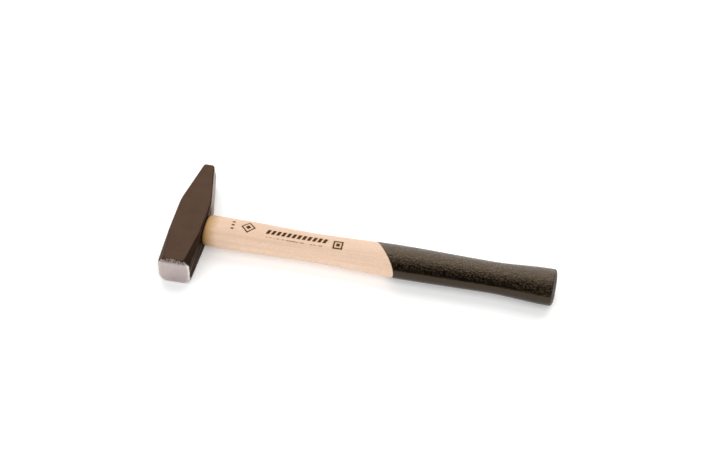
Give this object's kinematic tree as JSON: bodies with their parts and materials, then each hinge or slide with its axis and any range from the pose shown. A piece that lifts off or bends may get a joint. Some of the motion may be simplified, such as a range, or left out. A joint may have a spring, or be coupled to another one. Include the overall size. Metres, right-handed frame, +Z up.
{
  "type": "cross-pein hammer",
  "caption": "Cross-pein smith's hammer: dark lacquered forged head with a ground octagonal face, wedged ash handle and a dark anti-slip dip coat on the grip.",
  "frame": {"origin": "on the cheek that the hammer lies on, straight below the middle of the eye", "axes": "+X along the handle towards its butt, +Y towards the pein, -Y towards the striking face, +Z up through the upper cheek"},
  "size_m": [0.3253, 0.118, 0.027],
  "materials": {
    "head_lacquer": "dark grey-brown clear-topped lacquer over forged steel, semi-gloss; the striking face is ground bare",
    "ash": "smooth sanded ash with a thin clear varnish",
    "wedge_wood": "raw sawn hardwood",
    "wedge_steel": "bare turned steel",
    "grip_coat": "dark brown wrinkled anti-slip dip coat, semi-gloss"
  },
  "bodies": {
    "root": {"hammer_head": "head_lacquer", "handle": "ash", "eye_wedge": "wedge_wood", "ring_wedge": "wedge_steel", "grip_coating": "grip_coat"}
  },
  "joints": []
}
